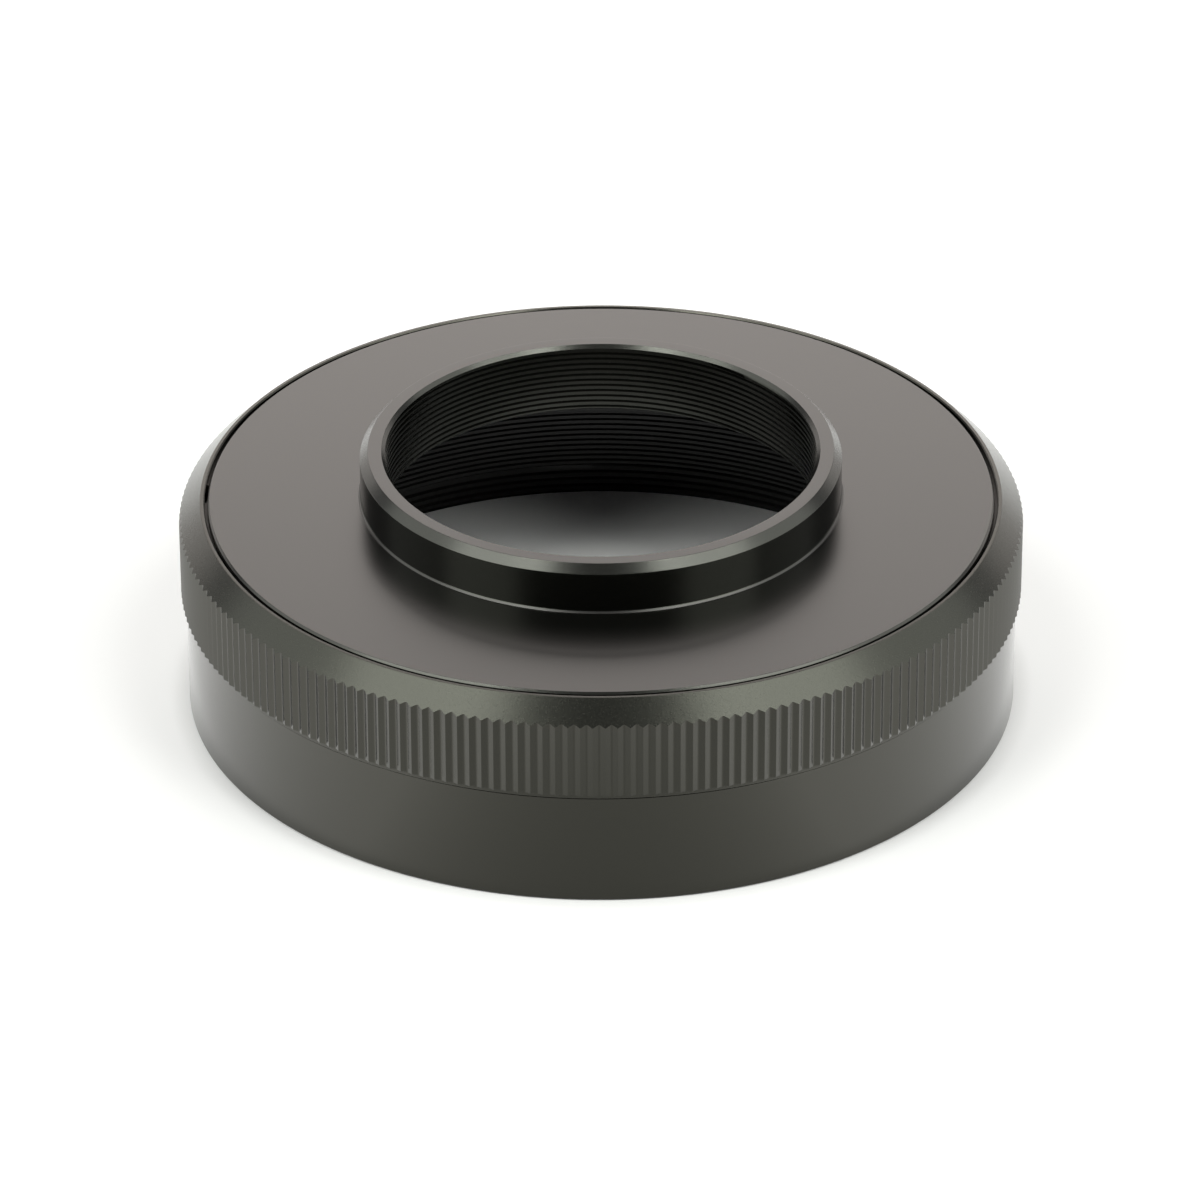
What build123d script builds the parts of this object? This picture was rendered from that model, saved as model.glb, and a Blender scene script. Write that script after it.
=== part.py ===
from build123d import *
import math
import os

os.makedirs("parts", exist_ok=True)

# A low, wide lens mount adapter turned from aluminium. A body tube screws onto the lens from below.
# A knurled ring runs on the tube's upper neck. A mount plate with a threaded collar lies in the ring's
# bore on the tube's rim, and a spring wire in two facing grooves keeps it there.
# Every turned piece shares the Z axis, and the tube's bottom face is z = 0. Lengths are in millimetres.

# Threads. A metric thread is drawn as a plain bore at its crest radius: the major radius less
# CREST_SHARE times the pitch. The fine thread above the lens thread only breaks up glare, and its
# crests stand a little inside the lens thread's.
CREST_SHARE = 0.5413
CAMERA_THREAD_MAJOR_D = 54.0
CAMERA_THREAD_PITCH = 0.75
LENS_THREAD_MAJOR_D = 98.0
LENS_THREAD_PITCH = 1.0
GLARE_THREAD_INSET = 0.865
GLARE_THREAD_LENGTH = 8.0

# Body tube: the smooth skirt with its mouth, and the neck that stands up inside the ring.
SKIRT_HEIGHT = 14.3
SKIRT_TOP_CHAMFER = 0.1
SKIRT_BOTTOM_CHAMFER = 0.2
MOUTH_DEPTH = 4.7
MOUTH_WALL = 3.041
MOUTH_CHAMFER = 0.1
NECK_HEIGHT = 9.8
NECK_CHAMFER = 0.4

# Knurled ring: straight V grooves under a 45 degree shoulder that ends in a narrow flat land.
KNURL_OVERHANG = 0.65
KNURL_COUNT = 220
KNURL_START = 0.29
KNURL_DEPTH = 0.36
RING_WALL = 1.63
RING_LIP_WIDTH = 1.23
RING_LAND_WIDTH = 0.54
RING_RIM_HEIGHT = 0.3
RING_RIM_STEP = 0.1

# Mount plate: the flat plate and its collar, turned as one piece.
PLATE_THICKNESS = 3.0
PLATE_CHAMFER = 0.25
PLATE_SEAT_WIDTH = 1.87
COLLAR_WALL = 3.1
COLLAR_HEIGHT = 6.25
COLLAR_CHAMFER = 1.0
COLLAR_FOOT = 0.25
BORE_MOUTH_CHAMFER = 0.44
BORE_BACK_CHAMFER = 0.3

# Spring wire of square section: half in the ring's groove and half in the plate's, which is deep
# enough to hold it all while it is squeezed in.
WIRE_SIDE = 0.8
WIRE_DEPTH = 1.35
WIRE_GAP_LENGTH = 4.5
WIRE_GAP_ANGLE = 178.35

# Clearances.
RUNNING_FIT = 0.06
PLATE_RIM_GAP = 0.38
RING_FOOT_GAP = 0.3
RING_SHOULDER_GAP = 0.2
RING_TOP_DROP = 0.1
WIRE_SEAT_GAP = 0.06
WIRE_SIDE_GAP = 0.02
WIRE_PLATE_GAP = 0.2

# Oversize of the ring's blank, which the knurl's outline cuts away.
BLANK_MARGIN = 0.5

# Radii, from the threads outwards and back in to the plate.
CAMERA_THREAD_R = CAMERA_THREAD_MAJOR_D / 2 - CREST_SHARE * CAMERA_THREAD_PITCH
COLLAR_R = CAMERA_THREAD_R + COLLAR_WALL
LENS_THREAD_R = LENS_THREAD_MAJOR_D / 2 - CREST_SHARE * LENS_THREAD_PITCH
GLARE_THREAD_R = LENS_THREAD_R - GLARE_THREAD_INSET
SKIRT_R = LENS_THREAD_R + MOUTH_WALL
KNURL_CREST_R = SKIRT_R + KNURL_OVERHANG
KNURL_ROOT_R = KNURL_CREST_R - KNURL_DEPTH
RING_THREAD_R = KNURL_ROOT_R - RING_WALL
NECK_R = RING_THREAD_R - RUNNING_FIT
RING_BORE_R = RING_THREAD_R - RING_LIP_WIDTH
RING_TOP_R = RING_BORE_R + RING_LAND_WIDTH
FLANGE_R = RING_BORE_R - RUNNING_FIT
PLATE_R = RING_BORE_R - PLATE_RIM_GAP
TUBE_BORE_R = FLANGE_R - PLATE_SEAT_WIDTH
WIRE_CENTRE_R = (PLATE_R + RING_BORE_R) / 2

# Heights.
RIM_Z = SKIRT_HEIGHT + NECK_HEIGHT
PLATE_TOP_Z = RIM_Z + PLATE_THICKNESS
COLLAR_TOP_Z = PLATE_TOP_Z + COLLAR_HEIGHT
RING_BOTTOM_Z = SKIRT_HEIGHT + RING_FOOT_GAP
RING_TOP_Z = PLATE_TOP_Z - RING_TOP_DROP
RING_SHOULDER_Z = RIM_Z + RING_SHOULDER_GAP
WIRE_Z = PLATE_TOP_Z - WIRE_DEPTH


def half_section(points):
    """The face of half a turned piece's section, from its corners as (radius, height)."""
    return make_face(Plane.XZ * Polyline(*points, close=True))


def body_tube():
    """The tube that the lens screws into: skirt, lens thread in its mouth, bore, rim and neck."""
    glare_top_z = MOUTH_DEPTH + GLARE_THREAD_LENGTH
    section = half_section([
        (LENS_THREAD_R + MOUTH_CHAMFER, 0),
        (SKIRT_R - SKIRT_BOTTOM_CHAMFER, 0),
        (SKIRT_R, SKIRT_BOTTOM_CHAMFER),
        (SKIRT_R, SKIRT_HEIGHT - SKIRT_TOP_CHAMFER),
        (SKIRT_R - SKIRT_TOP_CHAMFER, SKIRT_HEIGHT),
        (NECK_R, SKIRT_HEIGHT),
        (NECK_R, RIM_Z - NECK_CHAMFER),
        (NECK_R - NECK_CHAMFER, RIM_Z),
        (TUBE_BORE_R, RIM_Z),
        (TUBE_BORE_R, glare_top_z),
        (GLARE_THREAD_R, glare_top_z),
        (GLARE_THREAD_R, MOUTH_DEPTH),
        (LENS_THREAD_R, MOUTH_DEPTH),
        (LENS_THREAD_R, MOUTH_CHAMFER),
    ])
    return revolve(section, Axis.Z)


def mount_plate():
    """The plate that turns in the ring: flange, wire groove, flat top, and the threaded collar."""
    groove_half = WIRE_SIDE / 2 + WIRE_PLATE_GAP
    groove_r = WIRE_CENTRE_R - 1.5 * WIRE_SIDE
    section = half_section([
        (CAMERA_THREAD_R + BORE_BACK_CHAMFER, RIM_Z),
        (FLANGE_R, RIM_Z),
        (FLANGE_R, WIRE_Z - groove_half),
        (groove_r, WIRE_Z - groove_half),
        (groove_r, WIRE_Z + groove_half),
        (PLATE_R, WIRE_Z + groove_half),
        (PLATE_R, PLATE_TOP_Z - PLATE_CHAMFER),
        (PLATE_R - PLATE_CHAMFER, PLATE_TOP_Z),
        (COLLAR_R + COLLAR_FOOT, PLATE_TOP_Z),
        (COLLAR_R, PLATE_TOP_Z + COLLAR_FOOT),
        (COLLAR_R, COLLAR_TOP_Z - COLLAR_CHAMFER),
        (COLLAR_R - COLLAR_CHAMFER, COLLAR_TOP_Z),
        (CAMERA_THREAD_R + BORE_MOUTH_CHAMFER, COLLAR_TOP_Z),
        (CAMERA_THREAD_R, COLLAR_TOP_Z - BORE_MOUTH_CHAMFER),
        (CAMERA_THREAD_R, RIM_Z + BORE_BACK_CHAMFER),
    ])
    return revolve(section, Axis.Z)


def knurl_outline():
    """A prism with a star outline: one sharp crest and one V groove for each of KNURL_COUNT steps.
    The first crest stands KNURL_START steps from the X axis."""
    half_step = math.pi / KNURL_COUNT
    corners = []
    for index in range(2 * KNURL_COUNT):
        radius = KNURL_CREST_R if index % 2 == 0 else KNURL_ROOT_R
        angle = (index + 2 * KNURL_START) * half_step
        corners.append((radius * math.cos(angle), radius * math.sin(angle)))
    star = make_face(Plane.XY.offset(RING_BOTTOM_Z - BLANK_MARGIN) * Polyline(*corners, close=True))
    return extrude(star, RING_TOP_Z - RING_BOTTOM_Z + 2 * BLANK_MARGIN)


def knurled_ring():
    """The gripping ring: a turned blank, oversize where the knurl comes, cut down to the star outline."""
    blank_r = KNURL_CREST_R + BLANK_MARGIN
    rim_r = KNURL_ROOT_R - RING_RIM_STEP
    rim_top_z = RING_BOTTOM_Z + RING_RIM_HEIGHT
    groove_half = WIRE_SIDE / 2 + WIRE_SIDE_GAP
    groove_r = WIRE_CENTRE_R + WIRE_SIDE / 2 + WIRE_SEAT_GAP
    section = half_section([
        (RING_THREAD_R, RING_BOTTOM_Z),
        (rim_r, RING_BOTTOM_Z),
        (rim_r, rim_top_z),
        (blank_r, rim_top_z),
        (blank_r, RING_TOP_Z - (blank_r - RING_TOP_R)),
        (RING_TOP_R, RING_TOP_Z),
        (RING_BORE_R, RING_TOP_Z),
        (RING_BORE_R, WIRE_Z + groove_half),
        (groove_r, WIRE_Z + groove_half),
        (groove_r, WIRE_Z - groove_half),
        (RING_BORE_R, WIRE_Z - groove_half),
        (RING_BORE_R, RING_SHOULDER_Z),
        (RING_THREAD_R, RING_SHOULDER_Z),
    ])
    return revolve(section, Axis.Z) & knurl_outline()


def snap_ring():
    """The spring wire: one turn about Z, less the gap between its two cut ends."""
    gap_angle = math.degrees(WIRE_GAP_LENGTH / WIRE_CENTRE_R)
    section = Plane.XZ * Pos(WIRE_CENTRE_R, WIRE_Z) * Rectangle(WIRE_SIDE, WIRE_SIDE)
    wire = revolve(section, Axis.Z, 360 - gap_angle)
    return Rot(0, 0, WIRE_GAP_ANGLE + gap_angle / 2) * wire


PIECES = {
    "body_tube": body_tube,
    "mount_plate": mount_plate,
    "knurled_ring": knurled_ring,
    "snap_ring": snap_ring,
}

for name, make in PIECES.items():
    piece = make()
    export_step(piece, f"parts/{name}.step")
    print(name, "volume", round(piece.volume, 1))
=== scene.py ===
# %% [markdown]
# # A lens mount adapter in black anodised aluminium
#
# The object is a low, wide adapter of four separate pieces that share one axis: a body tube that
# screws onto a lens, a knurled ring that grips it, a mount plate with a threaded collar, and a spring
# wire that keeps the plate in the ring. The CAD model gives the places and the main sizes, and this
# script gives the pieces the detail that a plain solid lacks: helical threads, broken edges and real
# finishes.
#
# The pieces are worked out in millimetres, as on a turner's drawing, until a mesh is made. Names that
# end in _M hold metres, the unit that the scene itself is in.

# %% Load the fixed frame
import math

import bmesh
import bpy
import numpy as np
from mathutils import Matrix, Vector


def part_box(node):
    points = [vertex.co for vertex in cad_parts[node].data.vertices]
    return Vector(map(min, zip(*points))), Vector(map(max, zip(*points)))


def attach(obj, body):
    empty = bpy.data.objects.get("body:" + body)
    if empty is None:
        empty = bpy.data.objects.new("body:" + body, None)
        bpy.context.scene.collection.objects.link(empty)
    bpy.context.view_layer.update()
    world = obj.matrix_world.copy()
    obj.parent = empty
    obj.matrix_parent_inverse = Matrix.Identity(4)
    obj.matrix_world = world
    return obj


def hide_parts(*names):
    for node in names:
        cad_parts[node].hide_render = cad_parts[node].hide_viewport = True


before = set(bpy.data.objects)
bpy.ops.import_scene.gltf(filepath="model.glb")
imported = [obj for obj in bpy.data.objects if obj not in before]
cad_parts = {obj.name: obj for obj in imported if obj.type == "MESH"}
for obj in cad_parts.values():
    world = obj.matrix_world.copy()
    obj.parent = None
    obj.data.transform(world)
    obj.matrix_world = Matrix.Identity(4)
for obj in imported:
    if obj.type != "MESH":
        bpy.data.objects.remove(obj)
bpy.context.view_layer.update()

MM = 0.001
print("CAD nodes", sorted(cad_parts))

# %% [markdown]
# ## What the CAD nodes say
#
# A turned piece is known by its radii and heights. The outermost ones are read from the nodes' own
# boxes, so that a new piece stays where its node is. A box doesn't show the inner ones, so they are
# written beside each piece.

# %% Radii and heights of the three turned nodes
def reach(node):
    """The largest radius of a node about Z, and its lowest and highest Z, in millimetres."""
    low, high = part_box(node)
    return max(-low.x, high.x, -low.y, high.y) / MM, low.z / MM, high.z / MM


SKIRT_R, _, RIM_Z = reach("body_tube")
FLANGE_R, _, COLLAR_TOP_Z = reach("mount_plate")
KNURL_CREST_R, RING_BOTTOM_Z, RING_TOP_Z = reach("knurled_ring")
print("skirt", SKIRT_R, "flange", FLANGE_R, "knurl crest", KNURL_CREST_R)
print("rim", RIM_Z, "ring", RING_BOTTOM_Z, RING_TOP_Z, "collar top", COLLAR_TOP_Z)

# %% [markdown]
# ## A turned section with broken edges
#
# A lathe leaves an edge as sharp as a knife, so the turner breaks it by a few hundredths of a
# millimetre, and that tiny arc is what catches the light as a bright line. Blender's Bevel modifier
# could do it, but here the section is still a short list of corners, and rounding those gives full
# control: each corner has its own edge break, written beside its radius and height.

# %% Round the corners of a section
ARC_STEPS = 4
SAME_POINT_MM = 1e-6
EDGE_BREAK = 0.06


def soften(corners, closed=True):
    """Points of a section whose corners are arcs. A row of corners is (radius, height, edge break q).

    Where the path turns by t, the arc starts q tan(|t| / 2) before the corner and turns evenly about a
    centre that lies q to the side of the path. One more point stays q before and after each arc, so
    that a flat beside it is shaded flat. An open section keeps its two end points as they are.
    """
    table = np.array(corners, float)
    if closed:
        table = np.concatenate([table[-1:], table, table[:1]])
    corner, q = table[1:-1, :2], table[1:-1, 2:]
    before = corner - table[:-2, :2]
    after = table[2:, :2] - corner
    before /= np.linalg.norm(before, axis=1, keepdims=True)
    after /= np.linalg.norm(after, axis=1, keepdims=True)
    cross = before[:, 0] * after[:, 1] - before[:, 1] * after[:, 0]
    turn = np.arctan2(cross, (before * after).sum(1))[:, None]
    tangent = q * np.tan(np.abs(turn) / 2)
    inward = np.sign(turn) * np.stack([-before[:, 1], before[:, 0]], 1)
    centre = corner - before * tangent + inward * q
    step = turn * np.linspace(0, 1, ARC_STEPS + 1)
    cos, sin = np.cos(step), np.sin(step)
    spoke = -inward
    arc_r = centre[:, :1] + q * (cos * spoke[:, :1] - sin * spoke[:, 1:])
    arc_z = centre[:, 1:] + q * (sin * spoke[:, :1] + cos * spoke[:, 1:])
    lead = corner - before * (tangent + q)
    tail = corner + after * (tangent + q)
    r = np.concatenate([lead[:, :1], arc_r, tail[:, :1]], 1).ravel()
    z = np.concatenate([lead[:, 1:], arc_z, tail[:, 1:]], 1).ravel()
    points = np.stack([r, z], 1)
    if not closed:
        points = np.concatenate([table[:1, :2], points, table[-1:, :2]])
    fresh = np.linalg.norm(points - np.roll(points, 1, axis=0), axis=1) > SAME_POINT_MM
    return points[fresh]


# %% [markdown]
# ## From a section to a closed mesh
#
# Turning a section about the axis gives a grid: rows run along the section and columns run round the
# axis. Blender's Screw modifier or Spin could turn it, but a grid worked out with numpy can also carry
# a knurl or a thread, because each point of it has its own radius and height.

# %% Grids of radius and height
COLUMNS = 640


def turned_grid(section, columns=COLUMNS):
    """Radius and height of every point of a section that is the same all the way round."""
    shape = (len(section), columns)
    return np.broadcast_to(section[:, :1], shape), np.broadcast_to(section[:, 1:], shape)


def grid_quads(rows, columns, closed=False, seam_shift=0):
    """Four-cornered faces between neighbouring rows and columns.

    The last column meets the first, which is seam_shift rows further on for a thread. Rows that would
    go past the first column's end meet its last point. On a closed section the last row meets the
    first.
    """
    index = np.arange(rows * columns).reshape(rows, columns)
    ahead = np.roll(index, -1, axis=1)
    if seam_shift:
        ahead[:-seam_shift, -1] = index[seam_shift:, 0]
        ahead[-seam_shift:, -1] = index[-1, 0]
    upper, upper_ahead = np.roll(index, -1, axis=0), np.roll(ahead, -1, axis=0)
    quads = np.stack([index, ahead, upper_ahead, upper], -1)
    return (quads if closed else quads[:-1]).reshape(-1, 4)


# %% A mesh from points and faces
MERGE_MM = 0.0002
CREASE_DEG = 30.0


def mesh_piece(name, points_mm, faces):
    """An object at the origin from an array of points in millimetres and a list of faces.

    Points that coincide are merged, so seams close, the faces are turned outwards, and edges sharper
    than CREASE_DEG stay crisp.
    """
    mesh = bpy.data.meshes.new(name)
    mesh.from_pydata(points_mm * MM, [], faces)
    work = bmesh.new()
    work.from_mesh(mesh)
    bmesh.ops.remove_doubles(work, verts=work.verts, dist=MERGE_MM * MM)
    bmesh.ops.recalc_face_normals(work, faces=work.faces)
    work.to_mesh(mesh)
    open_edges = sum(1 for edge in work.edges if len(edge.link_faces) != 2)
    work.free()
    mesh.shade_smooth()
    mesh.set_sharp_from_angle(angle=math.radians(CREASE_DEG))
    piece = bpy.data.objects.new(name, mesh)
    bpy.context.scene.collection.objects.link(piece)
    triangles = sum(len(face.vertices) - 2 for face in mesh.polygons)
    print(name, "triangles", triangles, "open edges", open_edges)
    return piece


# %% A turned piece from bands
def plain_band(section):
    """The band that turning an open section gives: radius, height, and no shift at the seam."""
    return *turned_grid(section), 0


def turned_piece(name, bands):
    """One object from several bands of the same columns. A band is (radius, height, seam shift), and a
    point at column j is (radius cos a, radius sin a, height) with a = 2 pi j / columns."""
    points, faces, count = [], [], 0
    for radius, height, seam_shift in bands:
        rows, columns = radius.shape
        angle = np.arange(columns) * 2 * np.pi / columns
        band_points = np.stack([radius * np.cos(angle), radius * np.sin(angle), height], -1)
        points.append(band_points.reshape(-1, 3))
        faces.append(grid_quads(rows, columns, seam_shift=seam_shift) + count)
        count += rows * columns
    return mesh_piece(name, np.concatenate(points), np.concatenate(faces).tolist())


# %% [markdown]
# ## The internal threads
#
# The adapter has a metric thread at each end and a fine one between them that breaks up glare. A thread
# is a helix, not a stack of rings: after one turn round the axis it has climbed by one pitch. So the
# grid is sheared. Its rows follow the helix, and where the last column meets the first they have moved
# on by one turn. Modelled this way the crests stay crisp lines with only four rows to a turn.

# %% Profile of a thread
# Across one pitch: the flat crest is half of it, each flank seven thirty-seconds, the root a sixteenth.
# The crests on the real adapter are this wide, so the cut is shallower than a full metric thread's.
THREAD_STOPS = np.array([0, 8, 11.5, 12.5]) / 16
THREAD_CUT = np.array([0, 0, 1, 1])
# The flanks of a metric thread lean 30 degrees, so the depth is a flank's width over tan 30.
THREAD_DEPTH_SHARE = 3.5 / 16 / math.tan(math.radians(30))
THREAD_RUNOUT = 0.08
CREST_SHARE = 0.5413
# The grid starts this many turns below the bottom, so that no column starts above it.
THREAD_LEAD_TURNS = 2


def thread_crest(major_r, pitch):
    """Radius of an internal thread's crests: the major radius less CREST_SHARE times the pitch."""
    return major_r - CREST_SHARE * pitch


def internal_thread(major_r, pitch, bottom, top, start=0.0):
    """The band of a thread cut into a bore.

    A row at stop s lies at pitch (s + start + a / 2 pi) above the bottom as the angle a goes round,
    held between bottom and top. Its radius is the crest's plus the cut, which fades over THREAD_RUNOUT
    at both ends, so that they are square shoulders.
    """
    turns = np.arange(-THREAD_LEAD_TURNS, math.ceil((top - bottom) / pitch) + 1)
    stops = (turns[:, None] + THREAD_STOPS + start).ravel()
    turn_share = np.arange(COLUMNS) / COLUMNS
    height = np.clip(bottom + pitch * (stops[:, None] + turn_share), bottom, top)
    depth = THREAD_DEPTH_SHARE * pitch
    cut = depth * np.tile(THREAD_CUT, len(turns))[:, None]
    cut = cut * np.clip(np.minimum(height - bottom, top - height) / THREAD_RUNOUT, 0, 1)
    return thread_crest(major_r, pitch) + cut, height, len(THREAD_STOPS)


# %% [markdown]
# ## The body tube
#
# The tube is turned from one bar: a smooth skirt to hold, a mouth with the lens thread, M98 by 1, a
# relief where the thread cutter leaves, a finer thread above it that keeps stray light down, and a neck
# that stands up inside the knurled ring. Only the skirt is seen from outside, and the threads are seen
# through the collar and from below.

# %% Sizes of the body tube
SKIRT_HEIGHT = 14.3
SKIRT_TOP_CHAMFER = 0.1
SKIRT_TOP_BREAK = 0.05
SKIRT_BOTTOM_CHAMFER = 0.2
MOUTH_CHAMFER = 0.1
MOUTH_BREAK = 0.03
LENS_THREAD_MAJOR_R = 49.0
LENS_PITCH = 1.0
LENS_THREAD_TOP = 4.1
MOUTH_DEPTH = 4.7
RELIEF_R = 49.1
RELIEF_SLOPE = 0.1
GLARE_THREAD_MAJOR_R = 48.0
GLARE_PITCH = 0.75
GLARE_THREAD_TOP = 12.7
GLARE_START = 0.81
TUBE_BORE_R = 47.0
NECK_R = 50.1
NECK_CHAMFER = 0.4

lens_crest_r = thread_crest(LENS_THREAD_MAJOR_R, LENS_PITCH)
glare_crest_r = thread_crest(GLARE_THREAD_MAJOR_R, GLARE_PITCH)
print("lens thread crest", round(lens_crest_r, 3), "glare thread crest", round(glare_crest_r, 3))

# %% Body tube
tube_section = soften([
    (glare_crest_r, GLARE_THREAD_TOP, 0),
    (TUBE_BORE_R, GLARE_THREAD_TOP, EDGE_BREAK),
    (TUBE_BORE_R, RIM_Z, EDGE_BREAK),
    (NECK_R - NECK_CHAMFER, RIM_Z, EDGE_BREAK),
    (NECK_R, RIM_Z - NECK_CHAMFER, EDGE_BREAK),
    (NECK_R, SKIRT_HEIGHT, 0),
    (SKIRT_R - SKIRT_TOP_CHAMFER, SKIRT_HEIGHT, SKIRT_TOP_BREAK),
    (SKIRT_R, SKIRT_HEIGHT - SKIRT_TOP_CHAMFER, SKIRT_TOP_BREAK),
    (SKIRT_R, SKIRT_BOTTOM_CHAMFER, EDGE_BREAK),
    (SKIRT_R - SKIRT_BOTTOM_CHAMFER, 0, EDGE_BREAK),
    (lens_crest_r + MOUTH_CHAMFER, 0, MOUTH_BREAK),
    (lens_crest_r, MOUTH_CHAMFER, 0),
], closed=False)
relief_section = soften([
    (lens_crest_r, LENS_THREAD_TOP, 0),
    (RELIEF_R, LENS_THREAD_TOP + RELIEF_SLOPE, EDGE_BREAK),
    (RELIEF_R, MOUTH_DEPTH, EDGE_BREAK),
    (glare_crest_r, MOUTH_DEPTH, 0),
], closed=False)
tube = turned_piece("body_tube_turned", [
    plain_band(tube_section),
    internal_thread(LENS_THREAD_MAJOR_R, LENS_PITCH, MOUTH_CHAMFER, LENS_THREAD_TOP),
    plain_band(relief_section),
    internal_thread(GLARE_THREAD_MAJOR_R, GLARE_PITCH, MOUTH_DEPTH, GLARE_THREAD_TOP, GLARE_START),
])
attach(tube, "body")
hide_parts("body_tube")

# %% [markdown]
# ## The mount plate
#
# Plate and collar are one turning. The flange rests on the tube's rim inside the ring, and a groove in
# its edge takes the spring wire that holds it down. The collar carries the camera thread, M54 by 0.75,
# and ends in a wide 45 degree chamfer that is cut after the rest and shows more grain than the flat
# plate.

# %% Sizes of the mount plate
PLATE_TOP_Z = 27.1
PLATE_R = 48.55
PLATE_CHAMFER = 0.25
COLLAR_R = 29.694
COLLAR_CHAMFER = 1.0
COLLAR_FOOT = 0.25
CAMERA_THREAD_MAJOR_R = 27.0
CAMERA_PITCH = 0.75
CAMERA_START = 0.46
BORE_MOUTH_CHAMFER = 0.44
BORE_MOUTH_BREAK = 0.02
BORE_BACK_CHAMFER = 0.3
WIRE_Z = 25.75
WIRE_R = 48.74
PLATE_GROOVE_R = 47.54
PLATE_GROOVE_HALF = 0.6

camera_crest_r = thread_crest(CAMERA_THREAD_MAJOR_R, CAMERA_PITCH)
bore_mouth_r = camera_crest_r + BORE_MOUTH_CHAMFER
thread_low_z = RIM_Z + BORE_BACK_CHAMFER
thread_high_z = COLLAR_TOP_Z - BORE_MOUTH_CHAMFER
print("camera thread crest", round(camera_crest_r, 3))
print("camera thread from", round(thread_low_z, 3), "to", round(thread_high_z, 3))

# %% Mount plate
plate_section = soften([
    (camera_crest_r, thread_low_z, 0),
    (camera_crest_r + BORE_BACK_CHAMFER, RIM_Z, EDGE_BREAK),
    (FLANGE_R, RIM_Z, EDGE_BREAK),
    (FLANGE_R, WIRE_Z - PLATE_GROOVE_HALF, EDGE_BREAK),
    (PLATE_GROOVE_R, WIRE_Z - PLATE_GROOVE_HALF, EDGE_BREAK),
    (PLATE_GROOVE_R, WIRE_Z + PLATE_GROOVE_HALF, EDGE_BREAK),
    (PLATE_R, WIRE_Z + PLATE_GROOVE_HALF, EDGE_BREAK),
    (PLATE_R, PLATE_TOP_Z - PLATE_CHAMFER, EDGE_BREAK),
    (PLATE_R - PLATE_CHAMFER, PLATE_TOP_Z, EDGE_BREAK),
    (COLLAR_R + COLLAR_FOOT, PLATE_TOP_Z, EDGE_BREAK),
    (COLLAR_R, PLATE_TOP_Z + COLLAR_FOOT, EDGE_BREAK),
    (COLLAR_R, COLLAR_TOP_Z - COLLAR_CHAMFER, EDGE_BREAK),
    (COLLAR_R - COLLAR_CHAMFER, COLLAR_TOP_Z, EDGE_BREAK),
    (bore_mouth_r, COLLAR_TOP_Z, BORE_MOUTH_BREAK),
    (camera_crest_r, thread_high_z, 0),
], closed=False)
plate = turned_piece("mount_plate_turned", [
    plain_band(plate_section),
    internal_thread(CAMERA_THREAD_MAJOR_R, CAMERA_PITCH, thread_low_z, thread_high_z, CAMERA_START),
])
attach(plate, "plate")
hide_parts("mount_plate")

# %% [markdown]
# ## The knurled ring
#
# The ring is gripped with bare hands, so its outside is cut with 220 straight V grooves, 0.36 mm deep.
# The 45 degree shoulder is turned across their upper ends, and the meeting of the two is the zigzag
# line that runs round the object. A displacement of a plain cylinder would blur it. Here the knurl's
# outline is laid over the turned blank instead, and the row of the grid where the shoulder starts
# climbs the slope exactly as far as the outline pulls it in.

# %% Outline of the knurl
KNURL_COUNT = 220
KNURL_START = 0.29
KNURL_DEPTH = 0.36
# Stops across one groove, crest to crest, and how deep each is cut: a sharp crest, straight flanks and
# a root that is rounded over a quarter of the step.
KNURL_STOPS = np.array([0, 0.6, 12, 14, 16, 18, 20, 31.4]) / 32
KNURL_CUT = np.array([0.02, 0.05, 0.79, 0.90, 0.94, 0.90, 0.79, 0.05])


def knurl_outline():
    """Radius and angle of the knurl at each column: the crest's radius, less the depth times the cut at
    that stop. The first crest stands KNURL_START steps from the X axis."""
    cut = np.tile(KNURL_CUT, KNURL_COUNT)
    step = np.arange(KNURL_COUNT)[:, None] + KNURL_STOPS + KNURL_START
    angle = step.ravel() * 2 * np.pi / KNURL_COUNT
    return KNURL_CREST_R - KNURL_DEPTH * cut, angle


outline_r, outline_angle = knurl_outline()
print("knurl from radius", round(float(outline_r.min()), 3), "to", round(float(outline_r.max()), 3))

# %% Section of the ring's blank
RING_TOP_R = 49.47
RING_BORE_R = 48.93
RING_BORE_CHAMFER = 0.15
RING_BORE_BREAK = 0.02
RING_THREAD_R = 50.16
RING_SHOULDER_Z = 24.3
RING_RIM_R = 51.69
RING_RIM_Z = 14.9
RING_RIM_BREAK = 0.03
KNURL_FOOT_BREAK = 0.15
RING_GROOVE_R = 49.2
RING_GROOVE_HALF = 0.42
# The foot reaches a little lower than the solid's, because only a hairline shows above the skirt.
RING_FOOT_DROP = 0.2

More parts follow.
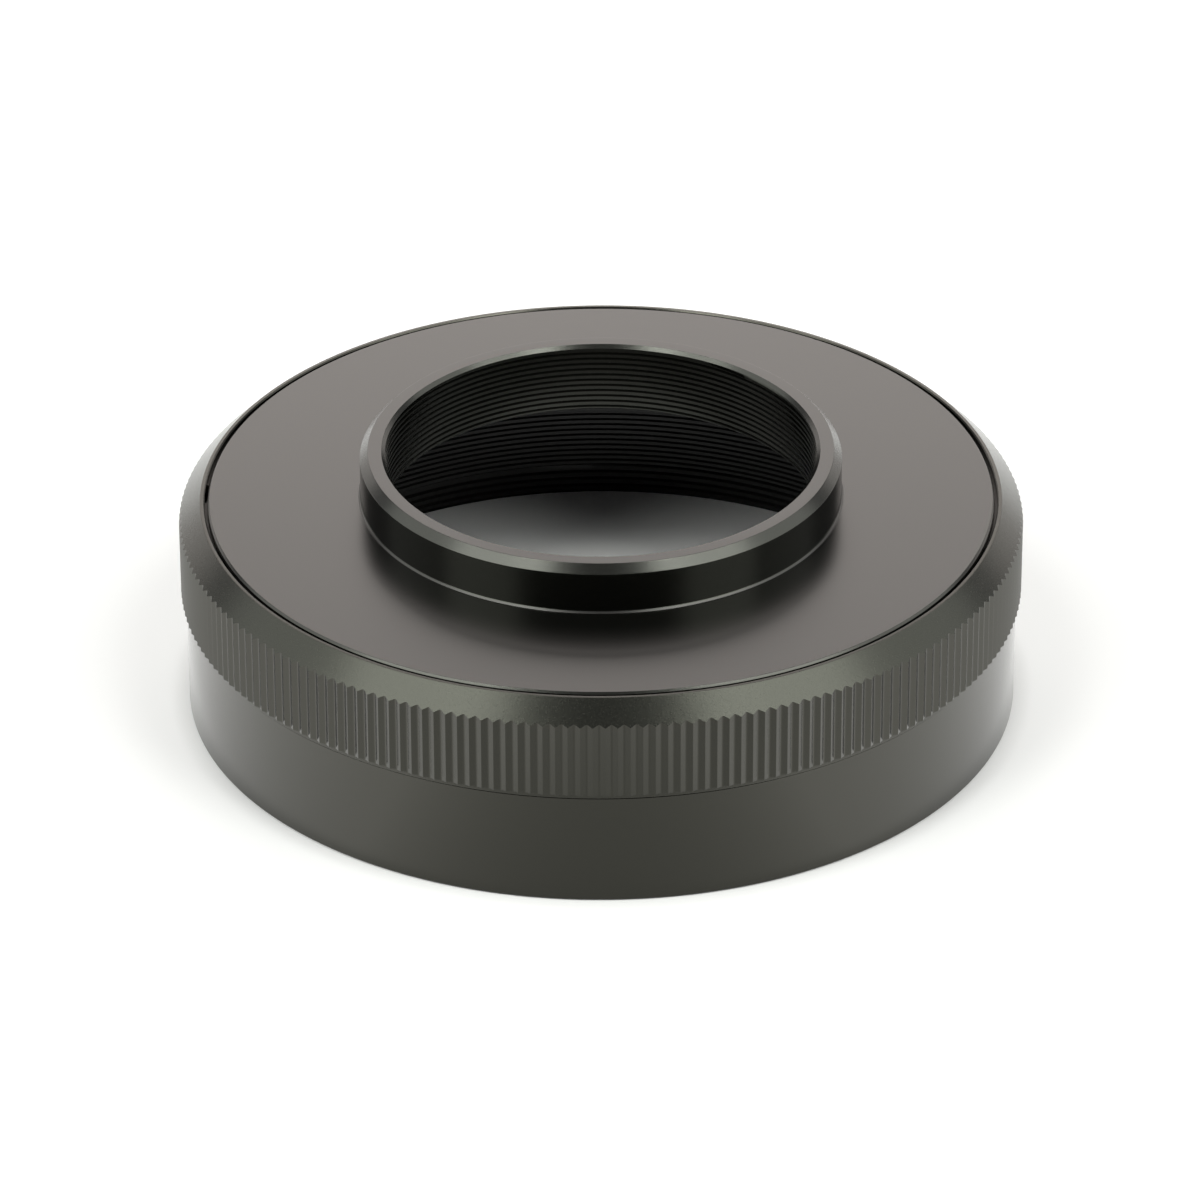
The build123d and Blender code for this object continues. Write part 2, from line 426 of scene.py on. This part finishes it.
ring_foot_z = RING_BOTTOM_Z - RING_FOOT_DROP
shoulder_foot_z = RING_TOP_Z - (KNURL_CREST_R - RING_TOP_R)
ring_section = soften([
    (RING_THREAD_R, ring_foot_z, EDGE_BREAK),
    (RING_RIM_R, ring_foot_z, RING_RIM_BREAK),
    (RING_RIM_R, RING_RIM_Z, 0),
    (KNURL_CREST_R, RING_RIM_Z, KNURL_FOOT_BREAK),
    (KNURL_CREST_R, shoulder_foot_z, 0),
    (RING_TOP_R, RING_TOP_Z, EDGE_BREAK),
    (RING_BORE_R + RING_BORE_CHAMFER, RING_TOP_Z, RING_BORE_BREAK),
    (RING_BORE_R, RING_TOP_Z - RING_BORE_CHAMFER, RING_BORE_BREAK),
    (RING_BORE_R, WIRE_Z + RING_GROOVE_HALF, 0),
    (RING_GROOVE_R, WIRE_Z + RING_GROOVE_HALF, 0),
    (RING_GROOVE_R, WIRE_Z - RING_GROOVE_HALF, 0),
    (RING_BORE_R, WIRE_Z - RING_GROOVE_HALF, 0),
    (RING_BORE_R, RING_SHOULDER_Z, 0),
    (RING_THREAD_R, RING_SHOULDER_Z, 0),
])
print("ring section", len(ring_section), "points, shoulder from", round(shoulder_foot_z, 3))

# %% Knurled ring
blank_r, blank_z = turned_grid(ring_section, len(outline_r))
pulled_in = np.maximum(blank_r - outline_r, 0)
on_slope = (blank_z >= shoulder_foot_z - MERGE_MM) & (blank_r > RING_TOP_R)
ring_r = blank_r - pulled_in
ring_z = blank_z + np.where(on_slope, pulled_in, 0)
ring_points = np.stack([ring_r * np.cos(outline_angle), ring_r * np.sin(outline_angle), ring_z], -1)
ring_faces = grid_quads(*ring_r.shape, closed=True).tolist()
ring = mesh_piece("knurled_ring_turned", ring_points.reshape(-1, 3), ring_faces)
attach(ring, "ring")
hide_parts("knurled_ring")

# %% [markdown]
# ## The spring wire
#
# A spring wire lies in two facing grooves and locks the plate into the ring. It is bent from square
# wire with rounded corners and cut to leave a gap, whose bright ends can be seen between plate and
# ring. A curve with a bevel would do, but a section carried along an arc gives a closed mesh with flat
# ends.

# %% Spring wire
WIRE_SIDE = 0.8
WIRE_CORNER = 0.15
WIRE_GAP = 4.5
WIRE_GAP_DEG = 178.35
WIRE_COLUMNS = 360

half = WIRE_SIDE / 2
wire_section = soften([
    (WIRE_R - half, WIRE_Z - half, WIRE_CORNER),
    (WIRE_R + half, WIRE_Z - half, WIRE_CORNER),
    (WIRE_R + half, WIRE_Z + half, WIRE_CORNER),
    (WIRE_R - half, WIRE_Z + half, WIRE_CORNER),
])
gap_turn = WIRE_GAP / WIRE_R
arc = np.linspace(gap_turn / 2, 2 * math.pi - gap_turn / 2, WIRE_COLUMNS)
wire_angle = math.radians(WIRE_GAP_DEG) + arc
wire_r, wire_z = turned_grid(wire_section, WIRE_COLUMNS)
wire_points = np.stack([wire_r * np.cos(wire_angle), wire_r * np.sin(wire_angle), wire_z], -1)
sides = grid_quads(*wire_r.shape, closed=True).reshape(*wire_r.shape, 4)
wire_sides = sides[:, :-1].reshape(-1, 4).tolist()
wire_ends = [list(range(column, wire_r.size, WIRE_COLUMNS)) for column in (0, WIRE_COLUMNS - 1)]
wire = mesh_piece("spring_wire_bent", wire_points.reshape(-1, 3), wire_sides + wire_ends)
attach(wire, "ring")
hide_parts("snap_ring")

# %% [markdown]
# ## Finishes
#
# Black anodising grows a clear layer of oxide into the aluminium and fills its pores with dye. What the
# eye sees is the dye's black under a thin hard skin: the shine comes from the skin, as on glass, and
# hardly any light comes back from below. So each finish is a shader with no metallic part, a base
# that is close to black and the refractive index of the sealed oxide: solid alumina has 1.77, and its
# dye-filled pores bring it down to between 1.5 and 1.7. The shop blasts the parts with fine beads
# before the bath, which makes the shine satin and leaves a grain of about a tenth of a millimetre.
# That is too fine to show here, so it is drawn 0.2 to 0.3 mm across.

# %% Colours and nodes
def linear(hex_colour):
    """A colour written as sRGB hex, turned into the linear values that a shader works in: up to 0.04045
    a value is divided by 12.92, and above that it is ((value + 0.055) / 1.055) to the power 2.4."""
    srgb = np.array([int(hex_colour[i:i + 2], 16) for i in (1, 3, 5)]) / 255
    value = np.where(srgb <= 0.04045, srgb / 12.92, ((srgb + 0.055) / 1.055) ** 2.4)
    return (*value.tolist(), 1.0)


def add_node(tree, kind, settings=None, links=None):
    """Adds a node. settings fills its properties or, by socket name, its inputs, and links joins an
    input, given by its name or number, to an output of another node."""
    node = tree.nodes.new(kind)
    for key, value in (settings or {}).items():
        if key in node.inputs:
            node.inputs[key].default_value = value
        else:
            setattr(node, key, value)
    for key, output in (links or {}).items():
        tree.links.new(output, node.inputs[key])
    return node


def new_material(name):
    """A material and its node tree, which is empty."""
    material = bpy.data.materials.new(name)
    material.use_nodes = True
    material.node_tree.nodes.clear()
    return material, material.node_tree


# %% Black anodised aluminium
DYE_BLACK = "#050504"
GRAIN_DETAIL = 2.0
GRAIN_ROUGHNESS = 0.6
# Most values of the noise lie between these two.
NOISE_LOW = 0.3
NOISE_HIGH = 0.7


def black_anodised(name, ior, tint, roughness, rough_spread, grain_mm, grain_height_mm):
    """Dyed oxide on blasted aluminium: DYE_BLACK under a skin of that ior.

    Noise in Object coordinates, grain_mm across, is both the bump of the blasted grain,
    grain_height_mm high, and a spread of the roughness by rough_spread to either side of its mean.
    """
    material, tree = new_material(name)
    place = add_node(tree, "ShaderNodeTexCoord").outputs["Object"]
    grain = add_node(tree, "ShaderNodeTexNoise", {
        "Scale": 1 / (grain_mm * MM), "Detail": GRAIN_DETAIL, "Roughness": GRAIN_ROUGHNESS,
    }, {"Vector": place})
    rough = add_node(tree, "ShaderNodeMapRange", {
        "From Min": NOISE_LOW, "From Max": NOISE_HIGH,
        "To Min": roughness - rough_spread, "To Max": roughness + rough_spread,
    }, {"Value": grain.outputs["Fac"]})
    bump = add_node(tree, "ShaderNodeBump", {
        "Strength": 1.0, "Distance": grain_height_mm * MM,
    }, {"Height": grain.outputs["Fac"]})
    shader = add_node(tree, "ShaderNodeBsdfPrincipled", {
        "Base Color": linear(DYE_BLACK), "Metallic": 0.0, "IOR": ior, "Specular Tint": linear(tint),
    }, {"Roughness": rough.outputs["Result"], "Normal": bump.outputs["Normal"]})
    add_node(tree, "ShaderNodeOutputMaterial", None, {"Surface": shader.outputs["BSDF"]})
    print("material", name)
    return material


# %% The anodised finishes
# The plate was blasted with the finest beads: an even satin with hardly any grain, slightly warm.
plate_satin = black_anodised(
    "black anodised aluminium, fine blasted plate", ior=1.70, tint="#fffdfa",
    roughness=0.28, rough_spread=0.006, grain_mm=0.25, grain_height_mm=0.0004)
# The collar's wall is turned after the plate and has a closer satin.
collar_satin = black_anodised(
    "black anodised aluminium, turned collar", ior=1.57, tint="#fbfff0",
    roughness=0.18, rough_spread=0.03, grain_mm=0.2, grain_height_mm=0.002)
# The tube and the knurl have a firm satin, and the dye bath left them a little olive.
tube_satin = black_anodised(
    "black anodised aluminium, satin tube", ior=1.57, tint="#fffdee",
    roughness=0.19, rough_spread=0.02, grain_mm=0.3, grain_height_mm=0.0008)
# The inside of the tube stays matt, so that it throws no stray light at the film or chip.
bore_matt = black_anodised(
    "black anodised aluminium, matt bore", ior=1.5, tint="#ffffff",
    roughness=0.45, rough_spread=0.03, grain_mm=0.3, grain_height_mm=0.004)
# The wide facets were cut last and dyed over coarse tool grain, so they sparkle.
shoulder_grain = black_anodised(
    "black anodised aluminium, grained shoulder", ior=1.64, tint="#fdfff0",
    roughness=0.25, rough_spread=0.03, grain_mm=0.22, grain_height_mm=0.006)
chamfer_grain = black_anodised(
    "black anodised aluminium, grained chamfer", ior=1.70, tint="#fdfff6",
    roughness=0.22, rough_spread=0.03, grain_mm=0.22, grain_height_mm=0.007)

# %% [markdown]
# The spring wire is not anodised: it is carbon steel, blackened in hot oil, which leaves a thin dark
# oxide with a dull gleam. Its ends are cut after blackening, so there the bare steel shows.

# %% Spring wire steel
# Real drawing marks are much finer than this, which is as coarse as it needs to be to show.
MARK_MM = 0.2
MARK_DETAIL = 3.0
MARK_SPREAD = 0.08


def spring_steel(name, base, roughness):
    """Drawn steel: noise in Object coordinates, MARK_MM across, spreads the roughness by up to
    MARK_SPREAD to either side of its mean."""
    material, tree = new_material(name)
    place = add_node(tree, "ShaderNodeTexCoord").outputs["Object"]
    marks = add_node(tree, "ShaderNodeTexNoise", {
        "Scale": 1 / (MARK_MM * MM), "Detail": MARK_DETAIL,
    }, {"Vector": place})
    rough = add_node(tree, "ShaderNodeMapRange", {
        "To Min": roughness - MARK_SPREAD, "To Max": roughness + MARK_SPREAD,
    }, {"Value": marks.outputs["Fac"]})
    shader = add_node(tree, "ShaderNodeBsdfPrincipled", {
        "Base Color": linear(base), "Metallic": 1.0,
    }, {"Roughness": rough.outputs["Result"]})
    add_node(tree, "ShaderNodeOutputMaterial", None, {"Surface": shader.outputs["BSDF"]})
    print("material", name)
    return material


blackened_steel = spring_steel("oil blackened spring steel", "#2c2a28", 0.4)
cut_steel = spring_steel("cut spring steel", "#c9c6c0", 0.3)

# %% [markdown]
# ## Which face gets which finish
#
# A facet is told from its neighbours by the way it faces: a 45 degree shoulder or chamfer has a normal
# whose height is close to 0.7. So the finish is given face by face, from the place and the normal of
# each face of the mesh.

# %% Give the finishes to the faces
def finish_faces(piece, materials, choose):
    """choose(centre, normal) gives each face the index of its material, for whole arrays at once."""
    for material in materials:
        piece.data.materials.append(material)
    count = len(piece.data.polygons)
    centre = np.zeros(count * 3)
    normal = np.zeros(count * 3)
    piece.data.polygons.foreach_get("center", centre)
    piece.data.polygons.foreach_get("normal", normal)
    chosen = choose(centre.reshape(-1, 3) / MM, normal.reshape(-1, 3)).astype(np.int32)
    piece.data.polygons.foreach_set("material_index", chosen)
    piece.data.update()
    print(piece.name, "faces by finish", np.bincount(chosen, minlength=len(materials)).tolist())


def radius_of(centre):
    """Distance of each centre from the Z axis."""
    return np.hypot(centre[:, 0], centre[:, 1])


# %% Finish of the tube
# The threads' roots and the relief lie within this radius, and the outside lies beyond it.
BORE_FINISH_R = GLARE_THREAD_MAJOR_R + 1.2


def tube_finish(centre, normal):
    """0 for the outside and 1 for the inside."""
    return radius_of(centre) < BORE_FINISH_R


finish_faces(tube, [tube_satin, bore_matt], tube_finish)

# %% Finish of the plate
# The height of the normal of a sloped facet lies between these two.
SLOPE_LOW = 0.5
SLOPE_HIGH = 0.95
RIM_EDGE_WIDTH = 0.3


def plate_finish(centre, normal):
    """0 for the flat plate and the collar's land, 1 for the collar's wall and the camera thread, and 2
    for the chamfers: the collar's, the one at the mouth of the bore and the one on the plate's rim."""
    radius, height, rise = radius_of(centre), centre[:, 2], normal[:, 2]
    walls = (radius < COLLAR_R + EDGE_BREAK) & (np.abs(rise) < SLOPE_HIGH)
    sloped = (rise > SLOPE_LOW) & (rise < SLOPE_HIGH)
    mouth = (radius < bore_mouth_r) & (height > thread_high_z)
    chamfer_foot_z = COLLAR_TOP_Z - COLLAR_CHAMFER - EDGE_BREAK
    collar_edge = (radius > COLLAR_R - COLLAR_CHAMFER) & (height > chamfer_foot_z)
    rim_edge = (radius > PLATE_R - RIM_EDGE_WIDTH) & (height > PLATE_TOP_Z - RIM_EDGE_WIDTH)
    return np.where(sloped & (mouth | collar_edge | rim_edge), 2, np.where(walls, 1, 0))


finish_faces(plate, [plate_satin, collar_satin, chamfer_grain], plate_finish)

# %% Finish of the ring
def ring_finish(centre, normal):
    """1 for the shoulder and 0 for the rest."""
    above_foot = (centre[:, 2] > shoulder_foot_z) & (normal[:, 2] > SLOPE_LOW)
    return above_foot & (radius_of(centre) > RING_TOP_R)


finish_faces(ring, [tube_satin, shoulder_grain], ring_finish)

# %% Finish of the wire
# The centre of a cut end lies this close to the middle line of the wire, and its normal is level.
ON_LINE_MM = 0.01
LEVEL_RISE = 0.1


def wire_finish(centre, normal):
    """0 for the blackened sides and 1 for the two cut ends."""
    on_line = np.abs(radius_of(centre) - WIRE_R) < ON_LINE_MM
    level = np.abs(normal[:, 2]) < LEVEL_RISE
    return on_line & level & (np.abs(centre[:, 2] - WIRE_Z) < ON_LINE_MM)


finish_faces(wire, [blackened_steel, cut_steel], wire_finish)

# %% [markdown]
# ## Camera
#
# The photograph was taken from about a metre away with a long lens, looking down by 30 degrees. A
# camera is a place, a direction, a focal length and a slight roll, all found from the ellipses that the
# turned edges draw.

# %% Camera
CAMERA_DISTANCE = 954.57
CAMERA_TARGET = (-0.156, 0.0, 11.68)
CAMERA_ELEVATION_DEG = 30.069
CAMERA_ROLL = -0.0031
CAMERA_LENS_MM = 230.06
SENSOR_MM = 36.0
CLIP_START_M = 0.05
CLIP_END_M = 20.0

camera_data = bpy.data.cameras.new("camera")
camera_data.lens = CAMERA_LENS_MM
camera_data.sensor_width = SENSOR_MM
camera_data.clip_start = CLIP_START_M
camera_data.clip_end = CLIP_END_M
camera = bpy.data.objects.new("camera", camera_data)
bpy.context.scene.collection.objects.link(camera)
elevation = math.radians(CAMERA_ELEVATION_DEG)
camera.location = (
    CAMERA_TARGET[0] * MM,
    (CAMERA_TARGET[1] - CAMERA_DISTANCE * math.cos(elevation)) * MM,
    (CAMERA_TARGET[2] + CAMERA_DISTANCE * math.sin(elevation)) * MM,
)
tilt = Matrix.Rotation(math.pi / 2 - elevation, 4, "X") @ Matrix.Rotation(CAMERA_ROLL, 4, "Z")
camera.rotation_euler = tilt.to_euler()
bpy.context.scene.camera = camera
print("camera at mm", [round(v / MM, 1) for v in camera.location])

# %% [markdown]
# ## Floor
#
# The adapter stands on a sheet of white paper that runs on into a white background. The paper is a
# plain matt white, and in the photograph it is overexposed. More light on it would be too much for the
# object, so the paper glows a little instead, by one amount for the camera and another for the shine.

# %% How much the paper glows
CAMERA_GLOW = 0.26
# What the shine sees of the paper is painted light: it is overexposed round the object, and a
# painted shade lies in front of it, where the object's shade falls.
PAINTED_LIGHT_IN_SHINE = 0.7
PAINTED_SHADE_IN_SHINE = 0.0
PAINTED_SHADE_EDGE = 0.8
# The paper under the object has none of that glow, which paints it in shade there; the glow starts
# between these distances from the axis. A round patch that lies open to the sky, under the bore, has
# a painted pool of light of its own, for the light that falls down through the bore.
GLOW_FROM_R = 50.0
GLOW_FULL_R = 54.0
PAINTED_POOL_FULL_R = 23.5
PAINTED_POOL_END_R = 24.5
PAINTED_POOL_GLOW = 0.8
print("glow starts at", GLOW_FROM_R, "mm, patch ends at", PAINTED_POOL_END_R, "mm")

# %% White paper
PAPER_WHITE = "#eeeeef"
FIBRE_MM = 0.5
FIBRE_DETAIL = 2.0
FIBRE_HEIGHT_MM = 0.02
FIBRE_STRENGTH = 0.1


def white_floor():
    """Matt white paper with a glow.

    To the camera it glows by CAMERA_GLOW, so that it reaches white and still shows the object's shadow.
    To the shine it glows by PAINTED_LIGHT_IN_SHINE, a painted light, and by less in a painted shade in
    front of the object, where -y / distance from the axis grows from PAINTED_SHADE_EDGE to 1. Under the
    object it doesn't glow, which paints it in shade, but the patch under the bore does, to the shine by
    PAINTED_POOL_GLOW: a painted pool of the light that falls down the bore.
    """
    material, tree = new_material("matt white paper")
    place = add_node(tree, "ShaderNodeTexCoord").outputs["Object"]
    path = add_node(tree, "ShaderNodeLightPath")
    fibre = add_node(tree, "ShaderNodeTexNoise", {
        "Scale": 1 / (FIBRE_MM * MM), "Detail": FIBRE_DETAIL,
    }, {"Vector": place})
    bump = add_node(tree, "ShaderNodeBump", {
        "Strength": FIBRE_STRENGTH, "Distance": FIBRE_HEIGHT_MM * MM,
    }, {"Height": fibre.outputs["Fac"]})
    paper = add_node(tree, "ShaderNodeBsdfDiffuse", {
        "Color": linear(PAPER_WHITE),
    }, {"Normal": bump.outputs["Normal"]})
    outward = add_node(tree, "ShaderNodeVectorMath", {"operation": "NORMALIZE"}, {0: place})
    forward = add_node(tree, "ShaderNodeVectorMath", {
        "operation": "DOT_PRODUCT",
    }, {0: outward.outputs["Vector"]})
    forward.inputs[1].default_value = (0, -1, 0)
    # Painted shade: the glow that the shine sees falls off in front of the object.
    shade = add_node(tree, "ShaderNodeMapRange", {
        "From Min": PAINTED_SHADE_EDGE, "To Min": PAINTED_LIGHT_IN_SHINE, "To Max": PAINTED_SHADE_IN_SHINE,
    }, {"Value": forward.outputs["Value"]})
    to_camera = add_node(tree, "ShaderNodeMapRange", {
        "To Max": CAMERA_GLOW,
    }, {"Value": path.outputs["Is Camera Ray"]})
    strength = add_node(tree, "ShaderNodeMapRange", None, {
        "Value": path.outputs["Is Glossy Ray"], "To Min": to_camera.outputs["Result"],
        "To Max": shade.outputs["Result"],
    })
    # Painted shade under the object: no glow between the patch and GLOW_FROM_R.
    distance = add_node(tree, "ShaderNodeVectorMath", {"operation": "LENGTH"}, {0: place})
    outside = add_node(tree, "ShaderNodeMapRange", {
        "From Min": GLOW_FROM_R * MM, "From Max": GLOW_FULL_R * MM,
    }, {"Value": distance.outputs["Value"], "To Max": strength.outputs["Result"]})
    # Painted pool of light: the patch under the bore glows to the camera and, more, to the shine.
    patch = add_node(tree, "ShaderNodeMapRange", {
        "To Max": PAINTED_POOL_GLOW,
    }, {"Value": path.outputs["Is Glossy Ray"], "To Min": to_camera.outputs["Result"]})
    lit = add_node(tree, "ShaderNodeMapRange", {
        "From Min": PAINTED_POOL_END_R * MM, "From Max": PAINTED_POOL_FULL_R * MM,
    }, {
        "Value": distance.outputs["Value"], "To Min": outside.outputs["Result"],
        "To Max": patch.outputs["Result"],
    })
    glow = add_node(tree, "ShaderNodeEmission", {
        "Color": (1, 1, 1, 1),
    }, {"Strength": lit.outputs["Result"]})
    both = add_node(tree, "ShaderNodeAddShader", None, {
        0: paper.outputs["BSDF"], 1: glow.outputs["Emission"],
    })
    add_node(tree, "ShaderNodeOutputMaterial", None, {"Surface": both.outputs["Shader"]})
    return material


# %% Floor
FLOOR_HALF_M = 4.0

quarters = ((-1, -1), (1, -1), (1, 1), (-1, 1))
floor_corners = [(x * FLOOR_HALF_M, y * FLOOR_HALF_M, 0) for x, y in quarters]
floor_mesh = bpy.data.meshes.new("floor")
floor_mesh.from_pydata(floor_corners, [], [(0, 1, 2, 3)])
floor_mesh.materials.append(white_floor())
floor = bpy.data.objects.new("floor", floor_mesh)
bpy.context.scene.collection.objects.link(floor)
print("floor", 2 * FLOOR_HALF_M, "m square")

# %% [markdown]
# ## The studio around it
#
# The camera sees white behind the paper. All that lights the object and shows in its shine is a studio:
# dark at the front, where the photographer stands, and at the back, brighter at the ceiling and
# brightest at the side walls. A world shader can tell the camera's own rays from the rest, and a ray's
# direction gives the walls without any geometry.

# %% Studio walls
# Brightness of the side walls, of the front and back walls, and of the ceiling.
WALLS = (0.36, 0.04, 0.2)


def studio_world():
    """White to the camera. To all other rays, the sum of the squares of the ray's direction, each times
    its wall's brightness."""
    world = bpy.data.worlds.new("white studio")
    world.use_nodes = True
    tree = world.node_tree
    tree.nodes.clear()
    path = add_node(tree, "ShaderNodeLightPath")
    ray = add_node(tree, "ShaderNodeTexCoord").outputs["Generated"]
    squares = add_node(tree, "ShaderNodeVectorMath", {"operation": "MULTIPLY"}, {0: ray, 1: ray})
    walls = add_node(tree, "ShaderNodeVectorMath", {
        "operation": "DOT_PRODUCT",
    }, {0: squares.outputs["Vector"]})
    walls.inputs[1].default_value = WALLS
    level = add_node(tree, "ShaderNodeMapRange", {
        "To Max": 1.0,
    }, {"Value": path.outputs["Is Camera Ray"], "To Min": walls.outputs["Value"]})
    sky = add_node(tree, "ShaderNodeBackground", {
        "Color": (1, 1, 1, 1),
    }, {"Strength": level.outputs["Result"]})
    add_node(tree, "ShaderNodeOutputWorld", None, {"Surface": sky.outputs["Background"]})
    return world


bpy.context.scene.world = studio_world()
print("walls, front and back, ceiling", WALLS)

# %% [markdown]
# ## Lamps
#
# Two large soft boxes stand at the sides, a little towards the camera, and draw the two broad gleams on
# each slope and wall. A strip behind the object and a panel above it give the flat plate its even grey,
# because the camera sees the plate at a low angle, and panels at the corners and sides light the ends
# of the curves. Two small high boxes reach down the bore to the paper inside. The studio is the same on
# the left and the right, so all but the middle boxes are set up in pairs.

# %% Soft boxes
BOX_DISTANCE_M = 1.5
WARM_WHITE = "#fff8f3"
COOL_WHITE = "#fdfff9"
# name, azimuths from behind towards the right, elevation, width m, height m, radiance, colour
SOFT_BOXES = [
    ("key_box", (121, -121), 39, 0.90, 1.00, 3.4, COOL_WHITE),
    ("high_box", (134, -134), 64, 0.35, 0.35, 7.5, COOL_WHITE),
    ("side_panel", (78, -78), 38, 0.80, 0.90, 1.05, COOL_WHITE),
    ("corner_panel", (42, -42), 8, 0.90, 0.40, 0.9, WARM_WHITE),
    ("strip_behind", (0,), 21, 1.30, 0.50, 2.8, WARM_WHITE),
    ("panel_above_strip", (0,), 46, 1.30, 0.70, 1.0, WARM_WHITE),
]


def soft_box(name, azimuth_deg, elevation_deg, width, height, radiance, colour):
    """A rectangular area lamp BOX_DISTANCE_M from the origin that faces it. A flat lamp of one radiance
    gives pi times radiance times area in watts."""
    lamp = bpy.data.lights.new(name, "AREA")
    lamp.shape = "RECTANGLE"
    lamp.size, lamp.size_y = width, height
    lamp.energy = radiance * math.pi * width * height
    lamp.color = linear(colour)[:3]
    box = bpy.data.objects.new(name, lamp)
    bpy.context.scene.collection.objects.link(box)
    turn, lift = math.radians(azimuth_deg), math.radians(elevation_deg)
    box.location = (
        BOX_DISTANCE_M * math.cos(lift) * math.sin(turn),
        BOX_DISTANCE_M * math.cos(lift) * math.cos(turn),
        BOX_DISTANCE_M * math.sin(lift),
    )
    box.rotation_euler = (math.pi / 2 - lift, 0, math.pi - turn)
    print(name, "at", [round(v, 2) for v in box.location], "W", round(lamp.energy, 1))


for name, azimuths, *shape in SOFT_BOXES:
    for azimuth in azimuths:
        soft_box(name, azimuth, *shape)

# %% [markdown]
# ## View
#
# The Standard view shows a colour as it is written. The dressed object must not be larger than the
# CAD model.

# %% View
bpy.context.scene.view_settings.view_transform = "Standard"
